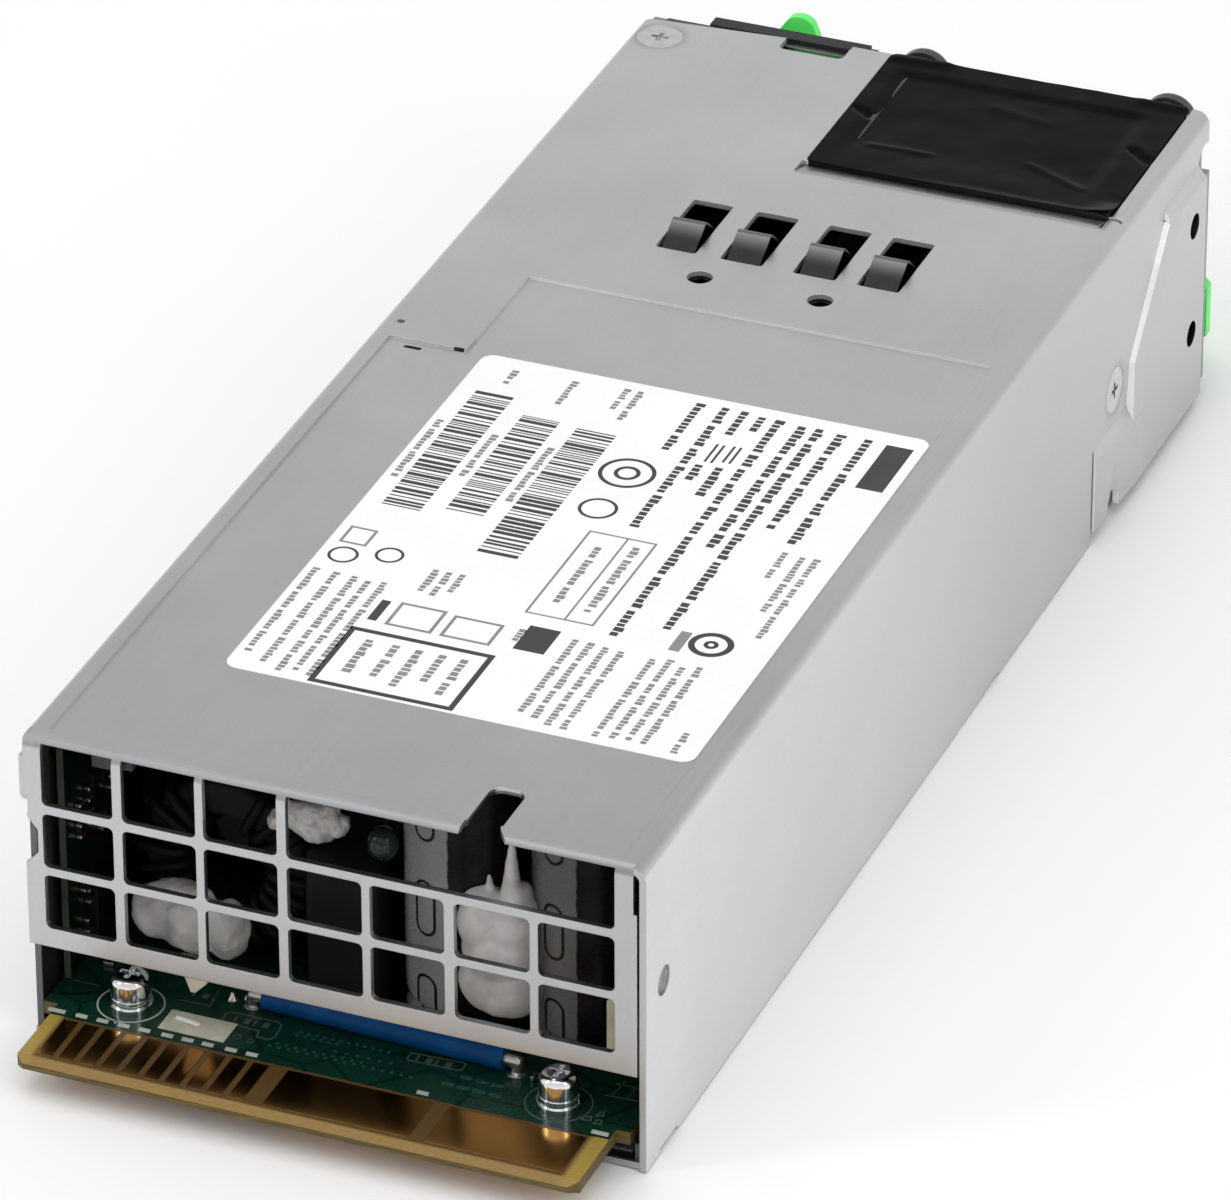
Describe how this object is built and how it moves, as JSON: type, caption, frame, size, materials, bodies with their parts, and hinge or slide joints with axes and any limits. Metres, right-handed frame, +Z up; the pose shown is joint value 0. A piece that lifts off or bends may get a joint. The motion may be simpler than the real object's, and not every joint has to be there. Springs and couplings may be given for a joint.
{
  "type": "hot swap server power supply",
  "caption": "Slim hot-swap server power supply: perforated steel case, card-edge connector, axial fan, vertical mains inlet, folding pull handle and sprung release lever.",
  "frame": {"origin": "middle of the chassis footprint on its bottom face", "axes": "+Z up through the label, +Y out of the fan and inlet end, -Y out of the card edge, +X to the side wall with the stepped flange"},
  "size_m": [0.0748, 0.2048, 0.0404],
  "materials": {
    "zinc_sheet": "zinc-plated steel sheet, satin",
    "zinc_screw": "zinc-plated, satin",
    "dark_spring_steel": "dark blued spring steel, semi-gloss",
    "black_film": "black polyester film, glossy and slightly wrinkled",
    "label_white": "white satin polyester label with plain grey and black print",
    "board_laminate": "green solder mask over tan glass laminate at the edge",
    "gold": "hard gold on copper, bright",
    "capacitor_sleeve": "black heat-shrink sleeve with a grey stripe",
    "ferrite": "sintered ferrite, matt",
    "black_enamel_wire": "dark enamelled wire, glossy",
    "black_plastic": "moulded, fine texture",
    "green_epoxy": "dipped epoxy",
    "silicone": "milky silicone, soft gloss",
    "tinned_wire": "bright tin",
    "blue_sleeve": "silicone sleeving, satin",
    "green_board": "dark solder mask",
    "chip_plastic": "black moulding compound",
    "aluminium": "bare",
    "yellow_tape": "polyester tape",
    "copper_wire": "enamelled copper",
    "blue_case": "dipped or cased",
    "ceramic": "ceramic tube with metal caps",
    "steel": "ground",
    "black_lead": "PVC insulation",
    "cream_plastic": "nylon",
    "black_wire": "black powder coat",
    "black_steel": "black oxide, satin",
    "nickel": "nickel-plated brass",
    "green_plastic": "moulded nylon, bright green touch-point colour",
    "light_pipe": "clear polycarbonate",
    "clear_insulator": "polyester sheet"
  },
  "bodies": {
    "chassis": {"adhesive": "silicone", "base_tray": "zinc_sheet", "board_screws": "zinc_screw", "board_standoffs": "zinc_screw", "board_sticker": "label_white", "board_washers": "zinc_screw", "boost_choke_core": "ferrite", "boost_choke_winding": "copper_wire", "bridge_rectifier": "chip_plastic", "bulk_capacitor": "capacitor_sleeve", "control_board": "green_board", "control_board_chips": "chip_plastic", "cover_screws": "zinc_screw", "disc_components": "blue_case", "edge_contacts": "gold", "fan_bearings": "steel", "fan_connector": "cream_plastic", "fan_films": "black_film", "fan_guard": "black_wire", "fan_housing": "black_plastic", "fan_lead": "black_lead", "fan_screws": "black_steel", "fan_stator": "copper_wire", "film_capacitors": "blue_case", "filter_capacitors": "capacitor_sleeve", "filter_choke_core": "ferrite", "filter_choke_winding": "copper_wire", "grounding_spring": "dark_spring_steel", "handle_blocks": "zinc_sheet", "handle_pins": "steel", "heat_sinks": "aluminium", "inlet_housing": "black_plastic", "inlet_pins": "nickel", "inlet_wires": "black_lead", "input_fuse": "ceramic", "inrush_relay": "black_plastic", "insulator_sheet": "clear_insulator", "lever_housing": "black_plastic", "lever_pin": "steel", "lever_spring": "steel", "link_sleeve": "blue_sleeve", "link_wire": "tinned_wire", "main_board": "board_laminate", "output_capacitors": "capacitor_sleeve", "output_choke_core": "ferrite", "output_choke_winding": "black_enamel_wire", "output_inductor": "black_plastic", "power_transistors": "chip_plastic", "rating_label": "label_white", "rear_panel": "zinc_sheet", "small_transformers": "yellow_tape", "status_light_pipe": "light_pipe", "thermistor_bead": "green_epoxy", "top_cover": "zinc_sheet", "transformer_core": "ferrite", "transformer_winding": "yellow_tape"},
    "fan_rotor": {"fan_rotor": "black_plastic", "fan_shaft": "steel"},
    "handle": {"handle": "green_plastic"},
    "release_lever": {"release_lever": "green_plastic"}
  },
  "joints": [
    {"name": "fan_spin", "type": "hinge", "parent": "chassis", "child": "fan_rotor", "pos_m": [0.015, 0.07615, 0.0195], "axis": [0, 1, 0], "continuous": true},
    {"name": "handle_pivot", "type": "hinge", "parent": "chassis", "child": "handle", "pos_m": [0.015, 0.09515, 0.0251], "axis": [1, 0, 0], "range_deg": [0, 90]},
    {"name": "release_lever_pivot", "type": "hinge", "parent": "chassis", "child": "release_lever", "pos_m": [-0.01785, 0.09555, 0.034], "axis": [1, 0, 0], "range_deg": [0, 14], "stiffness_Nm_per_rad": 0.03, "springref_deg": -5.73}
  ]
}
